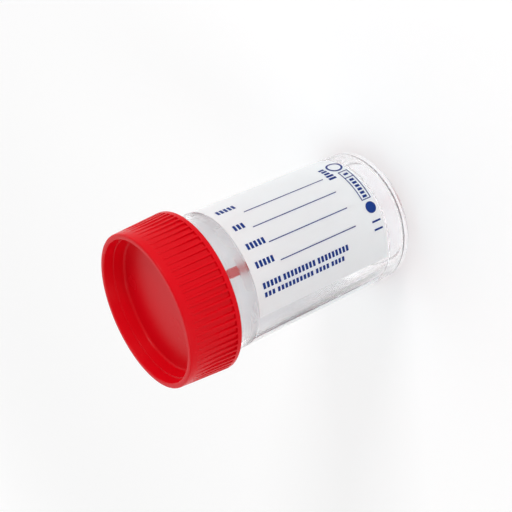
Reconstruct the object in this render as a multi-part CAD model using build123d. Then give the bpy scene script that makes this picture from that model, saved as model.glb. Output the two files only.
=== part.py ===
from build123d import *
import math
import os

# Screw-cap specimen container: a clear jar with a wrapped label, a red cap with a recessed top,
# and a spoon that hangs from the cap on the jar's axis. Millimetres, +Z up, base on z = 0.

# Jar
jar_diameter = 38.0
jar_height = 67.2
jar_floor = 1.4
jar_bore_draft = 0.25
base_corner_radius = 1.3
base_hollow_depth = 0.6
foot_ring_width = 1.6
foot_ring_chamfer = 0.5
gate_nub_diameter = 2.4
gate_nub_height = 0.3
inner_corner_radius = 1.5

# Jar neck and the collar under the cap
neck_step = 0.2
neck_wall = 0.95
rim_round = 0.4
collar_overhang = 1.3
collar_height = 1.8
collar_round = 0.6
collar_clearance = 0.4

# Screw thread
thread_pitch = 3.2
thread_height = 0.85
thread_root_width = 1.5
thread_crest_width = 0.7
thread_clearance = 0.3
thread_rim_land = 1.2
neck_thread_turns = 1.2
cap_thread_turns = 0.95
cap_thread_start_turn = 0.5
thread_embed = 0.3

# Cap
cap_skirt_wall = 2.05
cap_height = 14.7
cap_side_taper = 1.05
cap_floor = 1.5
cap_recess_depth = 5.9
cap_recess_wall = 1.45
cap_recess_taper = 0.9
cap_recess_floor_round = 0.8
cap_ledge_depth = 2.7
cap_ledge_width = 0.35
cap_ledge_round = 0.15
cap_seat_clearance = 0.1
cap_edge_round = 0.45
grip_rib_count = 70
grip_pocket_share = 0.6
grip_pocket_depth = 0.5
grip_pocket_top_depth = 0.15
grip_top_band = 2.0
grip_bottom_band = 1.5
seal_ring_depth = 2.0
seal_ring_wall = 0.9
seal_clearance = 0.08
socket_wall = 1.15
socket_depth = 9.0
socket_round = 0.4

# Spoon
spoon_peg_diameter = 3.2
spoon_peg_clearance = 0.05
spoon_peg_end_gap = 0.3
spoon_stem_width = 2.6
spoon_stem_thickness = 2.0
spoon_floor_gap = 7.6
spoon_bowl_length = 19.0
spoon_bowl_width = 9.4
spoon_bowl_wall = 0.9

# Label and its print, laid out as arc length from the front of the jar and height above the base
label_bottom = 8.6
label_collar_gap = 5.4
label_thickness = 0.12
label_gap_arc = 8.6
label_edge_arc = -14.66
label_clearance = 0.03
panel_depth = 0.2
panel_margin = 0.7
ink_thickness = 0.05
ink_lift = 0.025
line_width = 0.25
row_line_arcs = [14.4, 8.85, 3.5, -1.85]
row_line_drops = [8.2, 7.0, 8.5, 9.4]
row_line_lift = 9.15
row_mark_arcs = [16.9, 9.5, 3.5, -1.6]
row_mark_counts = [5, 3, 5, 5]
row_mark_drop = 2.1
row_mark_height = 1.7
mark_pitch = 1.2
mark_share = 0.62
word_space = 0.5
title_drop = 2.2
bold_line_arc = -6.35
bold_mark_height = 1.6
bold_words = [5, 9, 9]
plain_line_arc = -8.75
plain_mark_height = 1.3
plain_words = [3, 10, 4, 4]
foot_line_lift = 2.15
frame_arc_low = 3.45
frame_arc_high = 14.45
frame_band = 3.2
frame_divider_arc = 11.4
frame_mark_height = 1.4
frame_mark_count = 6
disc_arc = 1.0
disc_radius = 1.65
bar_arcs = [-2.7, -4.95]
bar_length = 2.9
bar_width = 0.5
badge_arc = 17.45
badge_lift = 2.45
badge_radius = 2.35
badge_hole_radius = 1.8
volume_arc = 12.95
volume_lift = 6.5
volume_mark_heights = [2.4, 2.4, 1.7, 1.7, 1.7]

# Levels worked out from the sizes above
jar_radius = jar_diameter / 2
panel_radius = jar_radius - panel_depth
neck_radius = jar_radius - neck_step
neck_bore_radius = neck_radius - neck_wall
floor_bore_radius = neck_bore_radius - jar_bore_draft
collar_radius = jar_radius + collar_overhang
cap_bore_radius = neck_radius + thread_height + thread_clearance
cap_radius = cap_bore_radius + cap_skirt_wall
cap_top_radius = cap_radius - cap_side_taper
cap_recess_radius = cap_top_radius - cap_recess_wall
cap_recess_floor_radius = cap_recess_radius - cap_recess_taper
cap_floor_bottom = jar_height + cap_seat_clearance
cap_floor_top = cap_floor_bottom + cap_floor
cap_top = cap_floor_top + cap_recess_depth
cap_bottom = cap_top - cap_height
collar_top = cap_bottom - collar_clearance
collar_bottom = collar_top - collar_height
socket_bottom = cap_floor_bottom - socket_depth
spoon_tip_height = jar_floor + spoon_floor_gap
peg_radius = spoon_peg_diameter / 2
peg_hole_radius = peg_radius + spoon_peg_clearance
socket_radius = peg_hole_radius + socket_wall
label_top = collar_bottom - label_collar_gap
foot_line_height = label_bottom + foot_line_lift
label_radius = panel_radius + label_clearance
print_radius = label_radius + label_thickness + ink_lift


def turned(points):
    """A solid of revolution about Z from an outline of radius and height points."""
    outline = Polyline(*[(radius, 0, height) for radius, height in points], close=True)
    return revolve(make_face(outline), axis=Axis.Z)


def shell_patch(inner_radius, thickness, arc_from, arc_to, bottom, top):
    """A piece of a thin upright tube between two arc lengths measured from the front, at -Y."""
    profile = Plane.XZ * Pos(inner_radius + thickness / 2, (bottom + top) / 2) * Rectangle(
        thickness, top - bottom
    )
    sweep_angle = math.degrees((arc_to - arc_from) / jar_radius)
    start_angle = math.degrees(arc_from / jar_radius) - 90
    return Rot(0, 0, start_angle) * revolve(profile, axis=Axis.Z, revolution_arc=sweep_angle)


def thread_ridge(root_radius, direction, turns, start_turn, start_height):
    """A right-hand helical ridge; direction is 1 for a ridge that points out, -1 for one that points in."""
    path = Helix(pitch=thread_pitch, height=thread_pitch * turns, radius=root_radius)
    flank = (thread_root_width - thread_crest_width) / 2 * thread_embed / thread_height
    root = thread_root_width / 2 + flank
    crest = thread_crest_width / 2
    outline = Polyline(
        (-direction * thread_embed, -root),
        (direction * thread_height, -crest),
        (direction * thread_height, crest),
        (-direction * thread_embed, root),
        close=True,
    )
    section = Plane(origin=path @ 0, x_dir=(1, 0, 0), z_dir=path % 0) * make_face(outline)
    ridge = sweep(section, path=path, is_frenet=True)
    return Pos(0, 0, start_height) * Rot(0, 0, 360 * start_turn) * ridge


def neck_thread_start():
    """Height of the middle of the neck's thread where it begins, above the collar."""
    return jar_height - thread_rim_land - thread_root_width / 2 - thread_pitch * neck_thread_turns


def rings(solid, radius):
    """The circular edges of a given radius, lowest first."""
    circles = solid.edges().filter_by(GeomType.CIRCLE)
    return circles.filter_by(lambda edge: abs(edge.radius - radius) < 1e-6).sort_by(Axis.Z)


def make_jar():
    """The clear jar: hollow base with a foot ring, label panel, collar, threaded neck."""
    foot_outer = jar_radius - base_corner_radius
    foot_inner = foot_outer - foot_ring_width
    outside = turned(
        [
            (0, base_hollow_depth),
            (foot_inner - foot_ring_chamfer, base_hollow_depth),
            (foot_inner, 0),
            (jar_radius, 0),
            (jar_radius, collar_bottom),
            (collar_radius, collar_bottom),
            (collar_radius, collar_top),
            (neck_radius, collar_top),
            (neck_radius, jar_height),
            (0, jar_height),
        ]
    )
    outside = fillet(rings(outside, jar_radius)[0], base_corner_radius)
    outside = fillet(rings(outside, collar_radius), collar_round)
    outside = fillet(rings(outside, neck_radius)[-1], rim_round)
    panel = turned(
        [
            (panel_radius, label_bottom - panel_margin),
            (jar_radius + 1, label_bottom - panel_margin - 1),
            (jar_radius + 1, label_top + panel_margin + 1),
            (panel_radius, label_top + panel_margin),
        ]
    )
    bore = turned(
        [
            (0, jar_floor),
            (floor_bore_radius, jar_floor),
            (neck_bore_radius, jar_height + 1),
            (0, jar_height + 1),
        ]
    )
    bore = fillet(rings(bore, floor_bore_radius)[0], inner_corner_radius)
    ridge = thread_ridge(neck_radius, 1, neck_thread_turns, 0, neck_thread_start())
    nub = Pos(0, 0, base_hollow_depth - gate_nub_height / 2) * Cylinder(
        gate_nub_diameter / 2, gate_nub_height
    )
    return outside - panel + ridge + nub - bore


def cap_outer_radius(height):
    """The cap's tapered side: wider at its lower edge."""
    share = (height - cap_bottom) / cap_height
    return cap_radius - cap_side_taper * share


def grip_pockets():
    """The ring of pockets that leaves the grip ribs standing: each runs out towards the rim."""
    low = cap_bottom + grip_bottom_band
    high = cap_top - grip_top_band
    low_radius = cap_outer_radius(low)
    high_radius = cap_outer_radius(high)
    outline = Polyline(
        (low_radius - grip_pocket_depth, 0, low),
        (low_radius + 1, 0, low),
        (high_radius + 1, 0, high),
        (high_radius - grip_pocket_top_depth, 0, high),
        close=True,
    )
    pitch_angle = 360 / grip_rib_count
    pocket = revolve(make_face(outline), axis=Axis.Z, revolution_arc=pitch_angle * grip_pocket_share)
    return [Rot(0, 0, pitch_angle * index) * pocket for index in range(grip_rib_count)]


def make_recess():
    """The space taken out of the cap's top: a tapered wall with one narrow ledge, and a flat floor."""
    ledge_height = cap_top - cap_ledge_depth
    taper = (cap_recess_taper - cap_ledge_width) / cap_recess_depth
    ledge_radius = cap_recess_radius - taper * cap_ledge_depth
    recess = turned(
        [
            (0, cap_floor_top),
            (cap_recess_floor_radius, cap_floor_top),
            (ledge_radius - cap_ledge_width, ledge_height),
            (ledge_radius, ledge_height),
            (cap_recess_radius, cap_top),
            (cap_recess_radius, cap_top + 1),
            (0, cap_top + 1),
        ]
    )
    recess = fillet(rings(recess, ledge_radius - cap_ledge_width), cap_ledge_round)
    return fillet(rings(recess, cap_recess_floor_radius)[0], cap_recess_floor_round)


def make_cap():
    """The red cap: tapered ribbed skirt, recessed top, thread, seal ring and the spoon's socket."""
    body = turned(
        [
            (0, cap_bottom),
            (cap_radius, cap_bottom),
            (cap_top_radius, cap_top),
            (0, cap_top),
        ]
    )
    body = fillet(body.edges().filter_by(GeomType.CIRCLE), cap_edge_round)
    recess = make_recess()
    hollow = Pos(0, 0, (cap_bottom - 1 + cap_floor_bottom) / 2) * Cylinder(
        cap_bore_radius, cap_floor_bottom - cap_bottom + 1
    )
    seal_radius = neck_bore_radius - seal_clearance
    seal = turned(
        [
            (seal_radius - seal_ring_wall, cap_floor_bottom),
            (seal_radius - seal_ring_wall, cap_floor_bottom - seal_ring_depth),
            (seal_radius - seal_ring_wall / 2, cap_floor_bottom - seal_ring_depth),
            (seal_radius, cap_floor_bottom - seal_ring_depth / 2),
            (seal_radius, cap_floor_bottom),
        ]
    )
    socket_middle = Pos(0, 0, cap_floor_bottom - socket_depth / 2)
    socket = socket_middle * Cylinder(socket_radius, socket_depth)
    socket = fillet(rings(socket, socket_radius)[0], socket_round)
    peg_hole = socket_middle * Cylinder(peg_hole_radius, socket_depth)
    ridge_start = neck_thread_start() + thread_pitch * (cap_thread_start_turn - 0.5)
    ridge = thread_ridge(cap_bore_radius, -1, cap_thread_turns, cap_thread_start_turn, ridge_start)
    return body - recess - hollow - grip_pockets() + ridge + seal + socket - peg_hole


def make_spoon():
    """The red spoon: a round peg in the cap's socket, a flat stem and a long narrow bowl."""
    peg_top = cap_floor_bottom - spoon_peg_end_gap
    peg_height = peg_top - socket_bottom
    peg = Pos(0, 0, (peg_top + socket_bottom) / 2) * Cylinder(peg_radius, peg_height)
    bowl_top = spoon_tip_height + spoon_bowl_length
    stem_top = socket_bottom
    stem_bottom = bowl_top - spoon_bowl_width / 4
    stem = Pos(0, 0, (stem_top + stem_bottom) / 2) * Box(
        spoon_stem_width, spoon_stem_thickness, stem_top - stem_bottom
    )
    middle = spoon_tip_height + spoon_bowl_length / 2
    shell = half_spindle(spoon_bowl_width / 2, spoon_tip_height, bowl_top, middle)
    hollow = half_spindle(
        spoon_bowl_width / 2 - spoon_bowl_wall,
        spoon_tip_height + 2 * spoon_bowl_wall,
        bowl_top - 2 * spoon_bowl_wall,
        middle,
    )
    bowl = Pos(0, -spoon_stem_thickness / 2, 0) * shell
    return peg + stem + bowl - Pos(0, -spoon_stem_thickness / 2, 0) * hollow


def half_spindle(radius, bottom, top, middle):
    """Half of a spindle: an arc turned through half a circle about Z, on the +Y side."""
    arc = ThreePointArc((0, 0, bottom), (radius, 0, middle), (0, 0, top))
    face = make_face([arc, Line((0, 0, top), (0, 0, bottom))])
    return revolve(face, axis=Axis.Z, revolution_arc=180)


def make_label():
    """The white label, wrapped round the jar with a clear strip left between its ends."""
    span = 2 * math.pi * jar_radius - label_gap_arc
    return shell_patch(
        label_radius, label_thickness, label_edge_arc, label_edge_arc + span, label_bottom, label_top
    )


def ink(arc_from, arc_to, bottom, top):
    """A printed rectangle."""
    return shell_patch(print_radius, ink_thickness, arc_from, arc_to, bottom, top)


def mark_row(arc, height, top, words):
    """Plain blocks in place of lettering: one group of blocks for each word, read downwards."""
    marks = []
    level = top
    for count in words:
        for index in range(count):
            block_top = level - mark_pitch * index
            marks.append(ink(arc, arc + height, block_top - mark_pitch * mark_share, block_top))
        level = level - mark_pitch * count - word_space
    return marks


def mark_column(arc, middle, heights):
    """Plain blocks that run round the jar, from the given arc upwards."""
    marks = []
    for index, height in enumerate(heights):
        start = arc + mark_pitch * index
        marks.append(ink(start, start + mark_pitch * mark_share, middle - height / 2, middle + height / 2))
    return marks


def ink_disc(arc, height, radius, hole_radius):
    """A printed disc or ring: a radial rod, hollow for a ring, trimmed to the thickness of the ink."""
    rod = Cylinder(radius, jar_diameter)
    if hole_radius > 0:
        rod = rod - Cylinder(hole_radius, jar_diameter)
    turn = math.degrees(arc / jar_radius)
    aimed = Rot(0, 0, turn) * Pos(0, -jar_radius, height) * Rot(90, 0, 0) * rod
    reach = radius + line_width
    patch = ink(arc - reach, arc + reach, height - reach, height + reach)
    return (patch & aimed).solids()


def frame_print():
    """A plain outlined box with a divider and blocks inside, running round the foot of the label."""
    low = foot_line_height - frame_band / 2
    high = foot_line_height + frame_band / 2
    marks = [
        ink(frame_arc_low, frame_arc_high, low, low + line_width),
        ink(frame_arc_low, frame_arc_high, high - line_width, high),
    ]
    for arc in (frame_arc_low, frame_divider_arc, frame_arc_high - line_width):
        marks.append(ink(arc, arc + line_width, low + line_width, high - line_width))
    first = (frame_arc_low + frame_divider_arc - mark_pitch * (frame_mark_count - 1 + mark_share)) / 2
    marks += mark_column(first, foot_line_height, [frame_mark_height] * frame_mark_count)
    single = (frame_divider_arc + frame_arc_high - mark_pitch * mark_share) / 2
    marks += mark_column(single, foot_line_height, [frame_mark_height])
    return marks


def make_label_print():
    """The blue print: writing lines, plain blocks in place of words, and plain shapes."""
    marks = []
    line_bottom = label_bottom + row_line_lift
    for arc, drop in zip(row_line_arcs, row_line_drops):
        marks.append(ink(arc - line_width, arc, line_bottom, label_top - drop))
    for arc, count in zip(row_mark_arcs, row_mark_counts):
        marks += mark_row(arc, row_mark_height, label_top - row_mark_drop, [count])
    title_top = label_top - title_drop
    marks += mark_row(bold_line_arc - bold_mark_height / 2, bold_mark_height, title_top, bold_words)
    marks += mark_row(plain_line_arc - plain_mark_height / 2, plain_mark_height, title_top, plain_words)
    marks += frame_print()
    marks += mark_column(volume_arc, label_bottom + volume_lift, volume_mark_heights)
    for arc in bar_arcs:
        low = foot_line_height - bar_length / 2
        marks.append(ink(arc - bar_width, arc, low, low + bar_length))
    marks += ink_disc(disc_arc, foot_line_height, disc_radius, 0)
    marks += ink_disc(badge_arc, label_bottom + badge_lift, badge_radius, badge_hole_radius)
    return marks


def main():
    """Build every piece and write one STEP file for each."""
    os.makedirs("parts", exist_ok=True)
    pieces = {
        "jar": make_jar(),
        "cap": make_cap(),
        "spoon": make_spoon(),
        "label": make_label(),
        "label_print": Compound(children=make_label_print()),
    }
    for name, piece in pieces.items():
        export_step(piece, f"parts/{name}.step")
        print(name, round(piece.volume, 2), "mm3")


main()
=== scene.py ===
# %% [markdown]
# # A screw-cap specimen container
# The container is a clear moulded jar with a white label wrapped round it, a red screw cap with a deep
# recessed top, and a spoon that hangs from the cap inside the jar. The CAD frame holds the real sizes and
# the motion. This notebook makes the surfaces that are seen: smooth turned meshes for the moulded
# plastics, a thin curved film for the label, and its print as small curved patches.
# %% Load the frame
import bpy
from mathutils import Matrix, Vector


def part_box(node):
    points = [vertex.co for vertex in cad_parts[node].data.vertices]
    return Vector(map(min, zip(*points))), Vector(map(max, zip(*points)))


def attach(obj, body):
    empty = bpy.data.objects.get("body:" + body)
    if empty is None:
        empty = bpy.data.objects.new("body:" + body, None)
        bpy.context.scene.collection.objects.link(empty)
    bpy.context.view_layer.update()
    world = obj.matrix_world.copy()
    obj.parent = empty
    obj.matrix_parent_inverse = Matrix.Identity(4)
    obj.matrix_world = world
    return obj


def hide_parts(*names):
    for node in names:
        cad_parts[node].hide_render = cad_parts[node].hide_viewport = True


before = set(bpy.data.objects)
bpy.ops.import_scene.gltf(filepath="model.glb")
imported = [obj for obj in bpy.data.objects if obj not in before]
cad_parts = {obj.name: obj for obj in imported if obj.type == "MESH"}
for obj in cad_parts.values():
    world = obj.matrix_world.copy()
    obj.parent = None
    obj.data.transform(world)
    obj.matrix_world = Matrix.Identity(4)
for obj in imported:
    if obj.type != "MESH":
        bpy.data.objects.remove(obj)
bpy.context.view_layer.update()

# %% Other modules and constants
import math

import bmesh
import bpy
from mathutils import Matrix, Vector

MM = 0.001
WHITE = (1, 1, 1, 1)

# %% [markdown]
# ## Heights
# Heights are read from the frame where a CAD piece gives them, so that the pieces made here sit where the
# CAD says. All other sizes are the moulding's own, in millimetres, the same ones that the CAD part uses.
# They come with the piece that needs them first.
# %% Heights from the frame


def heights(node):
    """The lowest and the highest level of a CAD piece, in mm."""
    low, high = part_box(node)
    return low[2] / MM, high[2] / MM


jar_top = heights("jar")[1]
socket_bottom, cap_top = heights("cap")
label_bottom, label_top = heights("label")
levels = {"jar top": jar_top, "socket": socket_bottom, "cap top": cap_top, "label top": label_top}
print("heights in mm:", {name: round(level, 2) for name, level in levels.items()})

# %% [markdown]
# ## Camera
# The camera stands close, above the cap's side of the container, and it is turned about its own line of
# sight, so that the jar's axis runs across the picture. A camera is placed by where it stands, what it
# looks at and how far it is rolled. Rolling it keeps the container upright on its base in its own frame.
# %% Camera
camera_at = Vector((0, -233.75, 172.56)) * MM
look_at = Vector((1.55, 0, 38.25)) * MM
camera_roll = 113.84
focal_pixels = 1000
picture_pixels = 512
sensor_width = 36.0
nearest_seen = 0.01


def aim(place, target, roll):
    """A matrix that puts an object at place, looking down its -Z axis at target, turned by roll degrees."""
    turn = (target - place).to_track_quat("-Z", "Y").to_matrix().to_4x4()
    return Matrix.Translation(place) @ turn @ Matrix.Rotation(math.radians(roll), 4, "Z")


camera_data = bpy.data.cameras.new("camera")
camera_data.sensor_width = sensor_width
camera_data.lens = sensor_width * focal_pixels / picture_pixels
camera_data.clip_start = nearest_seen
camera = bpy.data.objects.new("camera", camera_data)
camera.matrix_world = aim(camera_at, look_at, -camera_roll)
bpy.context.scene.collection.objects.link(camera)
bpy.context.scene.camera = camera
print("lens in mm:", round(camera_data.lens, 1))

# %% [markdown]
# ## Shader arithmetic
# A material is a graph of nodes, and written out node by node it hides what it works out. The class below
# wraps one socket, so that a mask can be written as 1 - ring * 0.5 and its Math nodes appear by
# themselves. Every other node comes from one method of the graph's own wrapper.
# %% A socket that does arithmetic


class Wire:
    """One output socket of a node, ready for + - * in ordinary expressions."""

    def __init__(self, graph, socket):
        self.graph = graph
        self.socket = socket

    def math(self, operation, first, second):
        """A Math node with this operation on two values or wires."""
        return self.graph.node("ShaderNodeMath", {"operation": operation}, {0: first, 1: second})

    def __add__(self, other):
        return self.math("ADD", self, other)

    def __sub__(self, other):
        return self.math("SUBTRACT", self, other)

    def __rsub__(self, other):
        return self.math("SUBTRACT", other, self)

    def __mul__(self, other):
        return self.math("MULTIPLY", self, other)

    __radd__ = __add__
    __rmul__ = __mul__


# %% A graph that makes nodes


class Graph:
    """A node tree, whose nodes are all made by one method."""

    def __init__(self, tree):
        self.tree = tree
        self.tree.nodes.clear()

    def node(self, kind, settings, sockets, output=0):
        """A node of this kind: its settings first, then a value or a wire for each socket."""
        made = self.tree.nodes.new(kind)
        for name, value in settings.items():
            setattr(made, name, value)
        for name, value in sockets.items():
            self.feed(made.inputs[name], value)
        return Wire(self, made.outputs[output]) if made.outputs else made

    def feed(self, socket, value):
        """Links a wire to a socket, or sets a plain value on it."""
        if isinstance(value, Wire):
            self.tree.links.new(value.socket, socket)
        else:
            socket.default_value = value

    def split(self, vector, axis):
        """The part of a vector along X, Y or Z."""
        return self.node("ShaderNodeSeparateXYZ", {}, {"Vector": vector}, output=axis)

    def rays(self, *kinds):
        """1 where light of one of these kinds arrives, as the Light Path node tells them apart."""
        return sum(self.node("ShaderNodeLightPath", {}, {}, output=f"Is {kind} Ray") for kind in kinds)


# %% A material


class Finish(Graph):
    """A material with one Principled shader."""

    def __init__(self, name, **constants):
        self.material = bpy.data.materials.new(name)
        self.material.use_nodes = True
        super().__init__(self.material.node_tree)
        self.shader = self.tree.nodes.new("ShaderNodeBsdfPrincipled")
        self.output = self.tree.nodes.new("ShaderNodeOutputMaterial")
        self.plain = Wire(self, self.shader.outputs["BSDF"])
        self.show(self.plain)
        for socket, value in constants.items():
            self.set(socket.replace("_", " "), value)

    def set(self, socket, value):
        """Feeds one of the Principled shader's sockets."""
        self.feed(self.shader.inputs[socket], value)

    def show(self, surface):
        """Makes this shader the one that is seen."""
        self.feed(self.output.inputs["Surface"], surface)

    def place(self):
        """The point on the piece, in metres."""
        return self.node("ShaderNodeTexCoord", {}, {}, output="Object")

    def noise(self, size, detail, stretch=(1, 1, 1)):
        """Soft noise from 0 to 1 with blobs of about this size in mm."""
        scaled = self.node("ShaderNodeMapping", {}, {"Vector": self.place(), "Scale": stretch})
        sockets = {"Vector": scaled, "Scale": 1 / (size * MM), "Detail": detail}
        return self.node("ShaderNodeTexNoise", {}, sockets)

    def blend(self, mask, low, high):
        """The colour low where the mask is 0 and high where it is 1."""
        # The Mix node has sockets for each kind of data: 6 and 7 are its colours, and 2 its mixed colour.
        sockets = {0: mask, 6: (*low, 1), 7: (*high, 1)}
        return self.node("ShaderNodeMix", {"data_type": "RGBA"}, sockets, output=2)

    def step(self, value, low, high):
        """A soft step from 0 below low to 1 above high."""
        sockets = {"Value": value, "From Min": low, "From Max": high}
        return self.node("ShaderNodeMapRange", {"interpolation_type": "SMOOTHSTEP"}, sockets)

    def bump(self, height, depth, strength):
        """Turns a height from 0 to 1 into a relief of this depth in mm."""
        sockets = {"Height": height, "Distance": depth * MM, "Strength": strength}
        self.set("Normal", self.node("ShaderNodeBump", {}, sockets))

    def done(self):
        """The finished material."""
        print(self.material.name, len(self.tree.nodes), "nodes")
        return self.material


# %% [markdown]
# ## Turned meshes
# Jar and cap are round mouldings, and a lathe makes them: an outline of radius and height is turned about
# the axis. Each corner of the outline has its own rounding, because a moulded edge always has one and it
# is what catches the light. A turned mesh may also swell in or out with the angle, which is how the
# screw threads and the grip ribs are made in the same skin as the wall that carries them.
# %% Round an outline's corners
same = 1e-3
print("sizes count as the same within", same, "mm")


def rounded(outline, steps):
    """Points along an outline of (radius, height, rounding), with each corner turned into an arc."""
    points = []
    for index, (x, z, rounding) in enumerate(outline):
        corner = Vector((x, z))
        if rounding == 0:
            points.append(corner)
            continue
        before = (Vector(outline[index - 1][:2]) - corner).normalized()
        after = (Vector(outline[index + 1][:2]) - corner).normalized()
        half = before.angle(after) / 2
        reach = rounding / math.tan(half)
        centre = corner + (before + after).normalized() * rounding / math.sin(half)
        start = corner + before * reach - centre
        sweep = start.angle_signed(corner + after * reach - centre)
        for step in range(steps + 1):
            turn = Matrix.Rotation(-sweep * step / steps, 2)
            points.append(centre + turn @ start)
    return points


def sliced(points, on_wall, step):
    """The same points, with each stretch that runs along a wall cut into short steps."""
    result = [points[0]]
    for start, end in zip(points, points[1:]):
        along = on_wall(start) and on_wall(end)
        count = max(1, math.ceil((end - start).length / step)) if along else 1
        result += [start.lerp(end, index / count) for index in range(1, count + 1)]
    return result


# %% Turn an outline about the axis


def vertex(shape, radius, angle, height):
    """A vertex at this radius and height in mm, and this angle about the axis."""
    reach = radius * MM
    return shape.verts.new((reach * math.cos(angle), reach * math.sin(angle), height * MM))


def join(shape, first, second):
    """Faces between two rings of vertices, either of which may be a single vertex on the axis."""
    count = max(len(first), len(second))
    for index in range(count):
        ways = [(first, index), (first, index + 1), (second, index + 1), (second, index)]
        corners = [ring[place % len(ring)] for ring, place in ways]
        shape.faces.new(list(dict.fromkeys(corners)))


def turned(points, angles, swell):
    """A closed shape: points of radius and height turned about Z, and moved in or out by swell."""
    shape = bmesh.new()
    rows = []
    for radius, height in points:
        if radius < same:
            rows.append([vertex(shape, 0, 0, height)])
        else:
            rows.append([vertex(shape, radius + swell(a, radius, height), a, height) for a in angles])
    for low, high in zip(rows, rows[1:]):
        join(shape, low, high)
    return shape


# %% From a shape to an object


def add_object(name, mesh, material, sharp_angle):
    """An object for a mesh, shaded smooth apart from its sharp edges."""
    mesh.materials.append(material)
    for face in mesh.polygons:
        face.use_smooth = True
    mesh.set_sharp_from_angle(angle=math.radians(sharp_angle))
    piece = bpy.data.objects.new(name, mesh)
    bpy.context.scene.collection.objects.link(piece)
    print(name, len(mesh.polygons), "faces")
    return piece


def add_shape(name, shape, material, sharp_angle):
    """An object for a closed shape."""
    bmesh.ops.recalc_face_normals(shape, faces=shape.faces)
    mesh = bpy.data.meshes.new(name)
    shape.to_mesh(mesh)
    shape.free()
    return add_object(name, mesh, material, sharp_angle)


# %% [markdown]
# ## The screw thread
# The thread is a ridge that climbs by its pitch for each turn. At any angle and height, how far the ridge
# stands out depends only on the distance to the nearest turn of the helix, so one short function serves
# the jar's neck, where it stands out, and the cap's bore, where it stands in. The ridge runs out softly at
# both ends, as a moulded one does so that it can start to screw.
# %% Thread sizes
pitch = 3.2
thread_height = 0.85
thread_root = 1.5
thread_crest = 0.7
neck_turns = 1.2
run_out_turns = 0.06
rim_land = 1.2
thread_start = jar_top - rim_land - thread_root / 2 - pitch * neck_turns
print("thread climbs from", round(thread_start, 2), "to", round(thread_start + pitch * neck_turns, 2))

# %% How far the ridge stands out


def ridge(angle, height, start_turn, turns):
    """Height of the thread's ridge, from 0 to thread_height, at this place on the wall."""
    best = 0.0
    flank = (thread_root - thread_crest) / 2
    for lap in range(math.ceil(start_turn + turns)):
        along = angle / math.tau + lap - start_turn
        if not 0 <= along <= turns:
            continue
        away = abs(height - thread_start - pitch * along)
        side = max(0.0, min(1.0, (thread_root / 2 - away) / flank))
        run_out = min(1.0, along / run_out_turns, (turns - along) / run_out_turns)
        best = max(best, side * thread_height * run_out)
    return best


# %% [markdown]
# ## Clear plastic
# The jar is moulded in a clear plastic, about as bright as glass but softer: it bends light a little less,
# its surface has a slight waviness from the flow in the mould, and its gloss varies in soft patches. A
# band of the wall above the label is a little more satin than the rest.
# Transmission on the Principled shader gives true refraction through the real wall thickness. The
# waviness is a shallow bump, stretched along the jar, and the gloss varies with a second noise.
# A path tracer finds the lamps through a bent surface only by luck, so a lit wall behind clear plastic
# would stay dark and grainy. A Mix Shader therefore lets light that is only on its way to light something,
# the shadow and diffuse rays, pass straight through, while all that is seen still bends.
# %% Clear plastic finish
satin_band = 2.4
satin_edge = 0.3
satin_top = label_top + satin_band
smoky, clear = (0.975, 0.98, 0.985), (0.985, 0.99, 0.995)


def clear_plastic():
    """The jar's clear moulded plastic, with its satin band above the label."""
    finish = Finish("clear_plastic", Transmission_Weight=0.97, IOR=1.45)
    flow = finish.noise(size=9.0, detail=1.0, stretch=(1, 1, 0.35))
    haze = finish.noise(size=14.0, detail=2.0)
    height = finish.split(finish.place(), "Z") * (1 / MM)
    over_label = finish.step(height, label_top, label_top + satin_edge)
    over_band = finish.step(height, satin_top, satin_top + satin_edge)
    satin = over_label - over_band
    finish.set("Base Color", finish.blend(haze, smoky, clear))
    finish.set("Roughness", 0.05 + haze * 0.05 + satin * 0.2)
    finish.bump(flow, depth=0.02, strength=0.3)
    straight = finish.node("ShaderNodeBsdfTransparent", {}, {"Color": WHITE})
    passing = finish.rays("Shadow", "Diffuse")
    finish.show(finish.node("ShaderNodeMixShader", {}, {0: passing, 1: finish.plain, 2: straight}))
    return finish.done()


# %% [markdown]
# ## Jar
# The outline runs from the middle of the base outwards, up the outside, over the rim and down the bore to
# the floor, so it closes on the axis at both ends and the mesh is watertight: refraction needs that. Each
# line gives a corner's radius, its height and how far it is rounded.
# %% Jar sizes
jar_radius = 19.0
panel_radius = 18.8
panel_margin = 0.7
panel_slope = 0.17
jar_floor = 1.4
base_round = 1.3
base_hollow = 0.6
foot_ring = 1.6
foot_chamfer = 0.5
gate_radius = 1.2
gate_height = 0.3
neck_radius = 18.8
neck_bore = 17.85
floor_bore = 17.6
cap_height = 14.7
collar_radius = 20.3
collar_height = 1.8
collar_gap = 0.4
foot_outer = jar_radius - base_round
foot_inner = foot_outer - foot_ring
gate_bottom = base_hollow - gate_height
cap_bottom = cap_top - cap_height
collar_top = cap_bottom - collar_gap
collar_bottom = collar_top - collar_height
print("collar from", round(collar_bottom, 2), "to", round(collar_top, 2))

# %% Jar outline
jar_outline = [
    (0, gate_bottom, 0),
    (gate_radius, gate_bottom, 0.1),
    (gate_radius, base_hollow, 0.1),
    (foot_inner - foot_chamfer, base_hollow, 0.3),
    (foot_inner, 0, 0.15),
    (jar_radius, 0, base_round),
    (jar_radius, label_bottom - panel_margin - panel_slope, 0.15),
    (panel_radius, label_bottom - panel_margin, 0.15),
    (panel_radius, label_top + panel_margin, 0.15),
    (jar_radius, label_top + panel_margin + panel_slope, 0.15),
    (jar_radius, collar_bottom, 0.3),
    (collar_radius, collar_bottom, 0.6),
    (collar_radius, collar_top, 0.6),
    (neck_radius, collar_top, 0.3),
    (neck_radius, jar_top, 0.4),
    (neck_bore, jar_top, 0.3),
    (floor_bore, jar_floor, 1.5),
    (0, jar_floor, 0),
]
print("jar outline", len(jar_outline), "corners")

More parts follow.
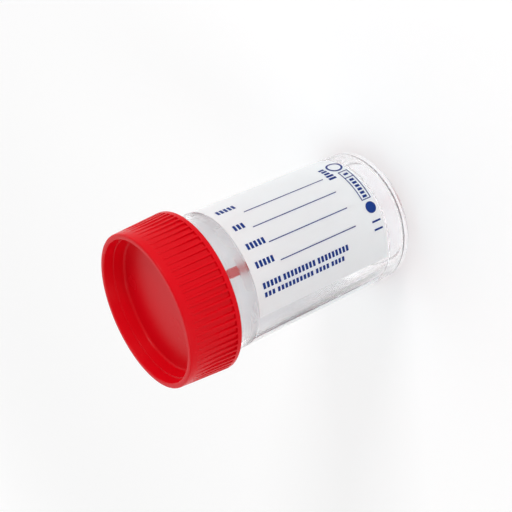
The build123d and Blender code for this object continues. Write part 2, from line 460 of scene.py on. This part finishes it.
# %% [markdown]
# A clear surface shows its facets much more than an opaque one, because each facet bends the light its own
# way. So the jar has many columns and finely rounded corners, and only the neck needs close rows as well.
# %% Jar mesh
jar_columns = 400
jar_corner_steps = 8
neck_row = 0.2


def on_neck(point):
    """Whether a point of the outline is on the outside of the neck."""
    return abs(point.x - neck_radius) < same and point.y > collar_top


def neck_swell(angle, radius, height):
    """The thread's ridge, on the outside of the neck only."""
    if not on_neck(Vector((radius, height))):
        return 0.0
    return ridge(angle, height, start_turn=0, turns=neck_turns)


jar_points = sliced(rounded(jar_outline, jar_corner_steps), on_neck, neck_row)
jar_angles = [math.tau * index / jar_columns for index in range(jar_columns)]
jar = add_shape("jar_clear", turned(jar_points, jar_angles, neck_swell), clear_plastic(), sharp_angle=50)
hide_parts("jar")
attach(jar, "jar_body")

# %% [markdown]
# ## Red moulded plastic
# The cap is a coloured, opaque moulding with a satin gloss. The mould's surface leaves a very fine grain,
# and the colour has faint clouds where the pigment mixed. In bright surroundings a full gloss would lay a
# white veil over the red, so the specular level is low and the red stays deep. The grain is a bump of two
# hundredths of a millimetre.
# %% Red plastic finish
deep_red, light_red = (0.62, 0.001, 0.006), (0.68, 0.002, 0.009)


def red_plastic():
    """The cap's and the spoon's red moulded plastic."""
    finish = Finish("red_plastic", IOR=1.4, Specular_IOR_Level=0.12)
    clouds = finish.noise(size=9.0, detail=3.0)
    grain = finish.noise(size=0.35, detail=2.0)
    finish.set("Base Color", finish.blend(clouds, deep_red, light_red))
    finish.set("Roughness", 0.21 + 0.10 * clouds)
    finish.bump(grain, depth=0.02, strength=0.35)
    return finish.done()


red = red_plastic()

# %% [markdown]
# ## Cap
# The outline starts in the middle of the recessed top, runs over the rim and down the skirt, and comes
# back through the bore, the seal ring and the socket that holds the spoon's peg.
# %% Cap sizes
cap_radius = 22.0
cap_top_radius = 20.95
recess_radius = 19.5
recess_floor_radius = 18.6
recess_depth = 5.9
cap_floor = 1.5
ledge_depth = 2.7
ledge_width = 0.35
thread_gap = 0.3
seal_radius = 17.77
seal_wall = 0.9
seal_depth = 2.0
socket_radius = 2.8
peg_radius = 1.65
floor_top = cap_top - recess_depth
floor_bottom = floor_top - cap_floor
ledge_top = cap_top - ledge_depth
recess_lean = recess_radius - recess_floor_radius - ledge_width
ledge_radius = recess_radius - recess_lean * ledge_depth / recess_depth
cap_bore = neck_radius + thread_height + thread_gap
seal_inner = seal_radius - seal_wall
print("cap floor from", round(floor_bottom, 2), "to", round(floor_top, 2))

# %% Cap outline
cap_outline = [
    (0, floor_top, 0),
    (recess_floor_radius, floor_top, 0.8),
    (ledge_radius - ledge_width, ledge_top, 0.15),
    (ledge_radius, ledge_top, 0.08),
    (recess_radius, cap_top, 0.3),
    (cap_top_radius, cap_top, 0.45),
    (cap_radius, cap_bottom, 0.45),
    (cap_bore, cap_bottom, 0.3),
    (cap_bore, floor_bottom, 0.4),
    (seal_radius, floor_bottom, 0.2),
    (seal_radius, floor_bottom - seal_depth / 2, 0.2),
    ((seal_radius + seal_inner) / 2, floor_bottom - seal_depth, 0.1),
    (seal_inner, floor_bottom - seal_depth, 0.1),
    (seal_inner, floor_bottom, 0.3),
    (socket_radius, floor_bottom, 0.3),
    (socket_radius, socket_bottom, 0.4),
    (peg_radius, socket_bottom, 0.1),
    (peg_radius, floor_bottom, 0),
    (0, floor_bottom, 0),
]
print("cap outline", len(cap_outline), "corners")

# %% [markdown]
# The grip is a ring of shallow pockets with squared ends, and what is left between them are the ribs. The
# pockets get shallower towards the rim and run out there. The mesh's columns are placed where the ribs
# begin and end, with a narrow slope between rib and pocket, so each edge is crisp without a very dense
# mesh.
# %% Ribs and pockets
rib_count = 70
pocket_share = 0.6
rib_slope = 0.07
pocket_depth = 0.5
pocket_top_depth = 0.15
bottom_band = 1.5
top_band = 2.0
end_slope = 0.12
cap_start_turn = 0.5
cap_turns = 0.95
pocket_bottom = cap_bottom + bottom_band
pocket_top = cap_top - top_band
print("pockets from", round(pocket_bottom, 2), "to", round(pocket_top, 2))


def rib_angles():
    """Angles of the mesh's columns: each rib's two edges, each pocket's two edges, and points between."""
    rib_middle = (pocket_share + 1) / 2
    marks = [0.0, pocket_share / 2, pocket_share, pocket_share + rib_slope, rib_middle, 1 - rib_slope]
    return [math.tau / rib_count * (index + mark) for index in range(rib_count) for mark in marks]


def on_side(point):
    """Whether a point of the outline is on the straight, tapered outside of the skirt."""
    side = cap_radius + (cap_top_radius - cap_radius) * (point.y - cap_bottom) / cap_height
    return abs(point.x - side) < same


def on_bore(point):
    """Whether a point of the outline is on the wall of the bore."""
    return abs(point.x - cap_bore) < same


def cap_swell(angle, radius, height):
    """Pockets on the outside of the skirt, and the thread on its bore."""
    point = Vector((radius, height))
    if on_side(point) and pocket_bottom <= height <= pocket_top:
        share = angle * rib_count / math.tau % 1
        if share < pocket_share + same or share > 1 - same:
            rise = (height - pocket_bottom) / (pocket_top - pocket_bottom)
            return -pocket_depth + (pocket_depth - pocket_top_depth) * rise
    if on_bore(point):
        return -ridge(angle, height, cap_start_turn, cap_turns)
    return 0.0


# %% Cap mesh
cap_corner_steps = 4
bore_row = 0.22


def with_pocket_rows(points):
    """Adds the rows where the pockets begin and end, and one close above and below each edge."""
    middle = (pocket_bottom + pocket_top) / 2
    rows = [pocket_top + end_slope, pocket_top, middle, pocket_bottom, pocket_bottom - end_slope]
    result = []
    for start, end in zip(points, points[1:]):
        result.append(start)
        if on_side(start) and on_side(end):
            result += [start.lerp(end, (start.y - row) / (start.y - end.y)) for row in rows]
    return result + [points[-1]]


cap_points = sliced(with_pocket_rows(rounded(cap_outline, cap_corner_steps)), on_bore, bore_row)
cap = add_shape("cap_red", turned(cap_points, rib_angles(), cap_swell), red, sharp_angle=35)
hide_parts("cap")
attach(cap, "cap_body")

# %% [markdown]
# ## Spoon
# The spoon is the same red plastic. Its CAD shape is already the real one, so it keeps its own mesh and
# gets the finish.
# %% Spoon finish
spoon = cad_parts["spoon"]
spoon.data.materials.clear()
spoon.data.materials.append(red)
print("spoon from", round(heights("spoon")[0], 2), "to", round(heights("spoon")[1], 2))

# %% [markdown]
# ## Label
# The label is a thin white film glued round the jar. It stops short of a full turn, which leaves a clear
# strip with two cut edges. It is a curved sheet with its own thickness, so the cut edge shows as a line.
# Places on it are given as arc length from the front of the jar, and as height.
# %% Curved patches on the jar
label_inner = 18.83
label_thickness = 0.12
label_edge_arc = -14.66
label_gap = 8.6
label_end_arc = label_edge_arc + math.tau * jar_radius - label_gap
patch_step = 0.35
print("label", round(label_end_arc - label_edge_arc, 1), "mm long")


def turn_of(arc):
    """The angle about the axis for an arc length from the front of the jar, which faces -Y."""
    return arc / jar_radius - math.pi / 2


def patch(shape, inner, thickness, arc_from, arc_to, bottom, top):
    """Adds a closed piece of thin tube between two arc lengths and two heights."""
    count = max(1, math.ceil((arc_to - arc_from) / patch_step))
    section = [(inner, bottom), (inner + thickness, bottom), (inner + thickness, top), (inner, top)]
    rings = []
    for index in range(count + 1):
        angle = turn_of(arc_from + (arc_to - arc_from) * index / count)
        rings.append([vertex(shape, radius, angle, height) for radius, height in section])
    for first, second in zip(rings, rings[1:]):
        join(shape, first, second)
    shape.faces.new(rings[0][::-1])
    shape.faces.new(rings[-1])


# %% [markdown]
# The film has a soft sheen, and a faint unevenness where the glue under it is thicker in places. It is so
# thin that light from behind comes through. The Principled shader's subsurface does that: with a weight of
# 1 and a depth of a few times the film's thickness, the label glows softly. Its colour leans to blue,
# which makes up for the red that the cap and the spoon send through it.
# %% Label film
film_dim, film_bright = (0.80, 0.92, 0.995), (0.82, 0.935, 0.995)


def label_film():
    """The white film."""
    finish = Finish("label_film", IOR=1.45, Subsurface_Weight=1.0, Subsurface_Scale=0.0006)
    finish.set("Subsurface Radius", (1, 1, 1))
    fibre = finish.noise(size=0.5, detail=3.0)
    glue = finish.noise(size=11.0, detail=2.0)
    finish.set("Base Color", finish.blend(glue, film_dim, film_bright))
    finish.set("Roughness", 0.38 + 0.12 * fibre)
    finish.bump(glue + fibre * 0.06, depth=0.06, strength=0.5)
    return finish.done()


film = bmesh.new()
patch(film, label_inner, label_thickness, label_edge_arc, label_end_arc, label_bottom, label_top)
label = add_shape("label_white", film, label_film(), sharp_angle=40)
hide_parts("label")
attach(label, "jar_body")

# %% [markdown]
# ## Print
# The print is one blue ink: lines to write on, and plain blocks and shapes where a real label has words
# and symbols. Each mark is a curved patch a few hundredths of a millimetre proud of the film.
# %% Ink finish
dark_blue, light_blue = (0.003, 0.028, 0.185), (0.007, 0.042, 0.235)


def blue_ink():
    """The printing ink."""
    finish = Finish("label_ink", Roughness=0.42, Specular_IOR_Level=0.15)
    cover = finish.noise(size=0.4, detail=2.0)
    finish.set("Base Color", finish.blend(cover, dark_blue, light_blue))
    finish.bump(cover, depth=0.01, strength=0.3)
    return finish.done()


# %% Print sizes
ink_lift = 0.025
ink_thickness = 0.05
print_radius = label_inner + label_thickness + ink_lift
line_width = 0.25
row_line_arcs = [14.4, 8.85, 3.5, -1.85]
row_line_tops = [label_top - drop for drop in (8.2, 7.0, 8.5, 9.4)]
row_line_bottom = label_bottom + 9.15
row_mark_arcs = [16.9, 9.5, 3.5, -1.6]
row_mark_counts = [5, 3, 5, 5]
row_mark_top = label_top - 2.1
row_mark_height = 1.7
mark_pitch = 1.2
mark_share = 0.62
mark_length = mark_pitch * mark_share
word_space = 0.5
title_top = label_top - 2.2
bold_arc, bold_height, bold_words = -6.35, 1.6, [5, 9, 9]
plain_arc, plain_height, plain_words = -8.75, 1.3, [3, 10, 4, 4]
print("ink on a radius of", round(print_radius, 3))

# %% Lines to write on, and rows of blocks
marks = bmesh.new()


def ink(arc_from, arc_to, bottom, top):
    """A printed rectangle."""
    patch(marks, print_radius, ink_thickness, arc_from, arc_to, bottom, top)


def mark_row(arc, height, top, words):
    """Groups of blocks that read downwards, one group for each word."""
    level = top
    for count in words:
        for index in range(count):
            start = level - mark_pitch * index
            ink(arc, arc + height, start - mark_length, start)
        level -= mark_pitch * count + word_space


for arc, line_top in zip(row_line_arcs, row_line_tops):
    ink(arc - line_width, arc, row_line_bottom, line_top)
for arc, count in zip(row_mark_arcs, row_mark_counts):
    mark_row(arc, row_mark_height, row_mark_top, [count])
mark_row(bold_arc - bold_height / 2, bold_height, title_top, bold_words)
mark_row(plain_arc - plain_height / 2, plain_height, title_top, plain_words)
print("print so far", len(marks.faces), "faces")

# %% Sizes of the marks round the foot of the label
foot_height = label_bottom + 2.15
frame_low, frame_divider, frame_high = 3.45, 11.4, 14.45
frame_half = 1.6
frame_mark = 1.4
frame_mark_count = 6
frame_bottom = foot_height - frame_half
frame_top = foot_height + frame_half
volume_arc = 12.95
volume_height = label_bottom + 6.5
volume_marks = [2.4, 2.4, 1.7, 1.7, 1.7]
bar_arcs = [-2.7, -4.95]
bar_width, bar_length = 0.5, 2.9
print("box from", round(frame_bottom, 2), "to", round(frame_top, 2))

# %% Marks round the foot of the label


def mark_column(arc, middle, mark_heights):
    """Blocks that run round the jar."""
    for index, height in enumerate(mark_heights):
        start = arc + mark_pitch * index
        ink(start, start + mark_length, middle - height / 2, middle + height / 2)


def centred(arc_from, arc_to, count):
    """The arc where a row of so many blocks starts, to sit in the middle between two arcs."""
    return (arc_from + arc_to - mark_pitch * (count - 1) - mark_length) / 2


ink(frame_low, frame_high, frame_bottom, frame_bottom + line_width)
ink(frame_low, frame_high, frame_top - line_width, frame_top)
for arc in (frame_low, frame_divider, frame_high - line_width):
    ink(arc, arc + line_width, frame_bottom + line_width, frame_top - line_width)
word_start = centred(frame_low, frame_divider, frame_mark_count)
mark_column(word_start, foot_height, [frame_mark] * frame_mark_count)
mark_column(centred(frame_divider, frame_high, 1), foot_height, [frame_mark])
mark_column(volume_arc, volume_height, volume_marks)
for arc in bar_arcs:
    ink(arc - bar_width, arc, foot_height - bar_length / 2, foot_height + bar_length / 2)
print("print so far", len(marks.faces), "faces")

# %% Round marks
disc_arc, disc_radius, disc_hole = 1.0, 1.65, 0.02
badge_arc, badge_radius, badge_hole = 17.45, 2.35, 1.8
badge_height = label_bottom + 2.45
round_steps = 40


def ring_mark(arc, height, radius, hole):
    """A printed ring, laid on the curve of the label. A disc is a ring with hardly any hole."""
    section = [(hole, ink_thickness), (radius, ink_thickness), (radius, 0), (hole, 0)]
    rings = []
    for index in range(round_steps):
        turn = math.tau * index / round_steps
        ring = []
        for spread, lift in section:
            angle = turn_of(arc + spread * math.cos(turn))
            ring.append(vertex(marks, print_radius + lift, angle, height + spread * math.sin(turn)))
        rings.append(ring)
    for first, second in zip(rings, rings[1:] + rings[:1]):
        join(marks, first, second)


ring_mark(disc_arc, foot_height, disc_radius, disc_hole)
ring_mark(badge_arc, badge_height, badge_radius, badge_hole)
print_piece = add_shape("label_print_blue", marks, blue_ink(), sharp_angle=40)
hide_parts("label_print")
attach(print_piece, "jar_body")

# %% [markdown]
# ## Floor
# The container stands on a white studio floor. To the camera, and to what is seen in or through the
# plastic, the floor glows slightly as well as reflecting, so that it reads as white and still keeps the
# container's soft shadow. The glow grows with the distance from the container, as the lamps' light falls
# off there, so that the floor runs into the white surroundings without a line.
# %% Floor
floor_reach = 6.0
floor_glow = 0.19
far_glow = 0.35
fade_start, fade_end = 0.3, 1.5


def floor_white():
    """A white floor that the camera sees as white."""
    finish = Finish("floor_white", Base_Color=(0.82, 0.82, 0.82, 1), Roughness=0.6)
    seen = finish.rays("Camera", "Glossy", "Transmission")
    length = {"operation": "LENGTH"}
    distance = finish.node("ShaderNodeVectorMath", length, {"Vector": finish.place()}, output="Value")
    strength = seen * (floor_glow + finish.step(distance, fade_start, fade_end) * far_glow)
    glow = finish.node("ShaderNodeEmission", {}, {"Color": WHITE, "Strength": strength})
    finish.show(finish.node("ShaderNodeAddShader", {}, {0: finish.plain, 1: glow}))
    return finish.done()


floor_corners = [(x * floor_reach, y * floor_reach, 0) for x, y in ((-1, -1), (1, -1), (1, 1), (-1, 1))]
floor_mesh = bpy.data.meshes.new("floor")
floor_mesh.from_pydata(floor_corners, [], [(0, 1, 2, 3)])
floor = add_object("floor", floor_mesh, floor_white(), sharp_angle=40)

# %% [markdown]
# ## Light
# Clear things are lit best by large bright surroundings, as on a light table, and small lamps would only
# leave hard spots. So the world does most of the work: it is brightest behind the jar, which lights the
# label from inside too, and dimmer overhead, which keeps the deep top of the cap a deep red. Where it is
# seen, reflected or looked at through the plastic, it is plain white. Two soft lamps add some modelling
# from the front. Light that crosses a wall may bounce inside it many times before it leaves, and a low
# limit would turn those rays black and the jar grey, so the limits are raised.
# %% How often light may bounce
scene = bpy.context.scene
scene.view_settings.view_transform = "Standard"
scene.cycles.max_bounces = 24
scene.cycles.diffuse_bounces = 8
scene.cycles.glossy_bounces = 16
scene.cycles.transmission_bounces = 24
scene.cycles.transparent_max_bounces = 32
print("bounces:", scene.cycles.max_bounces)

# %% World
side_light = 1.17
top_loss = 0.58
back_gain = 0.4
world = bpy.data.worlds.new("studio")
world.use_nodes = True
sky = Graph(world.node_tree)
direction = sky.node("ShaderNodeTexCoord", {}, {}, output="Generated")
light = side_light - sky.split(direction, "Z") * top_loss + sky.split(direction, "Y") * back_gain
white = sky.rays("Camera", "Glossy", "Transmission")
strength = light + white * (1 - light)
glow = sky.node("ShaderNodeBackground", {}, {"Color": WHITE, "Strength": strength})
sky.node("ShaderNodeOutputWorld", {}, {"Surface": glow})
scene.world = world
print("light from overhead:", round(side_light - top_loss, 2))
print("light from behind:", round(side_light + back_gain, 2))

# %% Lamps
lamp_target = Vector((0, 0, 0.04))


def softbox(name, place, size, strength):
    """A square lamp that shines evenly from its whole face, and isn't seen through the plastic."""
    data = bpy.data.lights.new(name, "AREA")
    data.shape = "SQUARE"
    data.size = size
    data.energy = strength
    lamp = bpy.data.objects.new(name, data)
    lamp.matrix_world = aim(Vector(place), lamp_target, 0)
    lamp.visible_transmission = False
    scene.collection.objects.link(lamp)
    print(name, strength, "W at", round((Vector(place) - lamp_target).length, 2), "m")


softbox("key_lamp", place=(0.62, -0.55, 0.38), size=0.3, strength=2.8)
softbox("fill_lamp", place=(-0.62, -0.55, 0.30), size=0.4, strength=1.3)
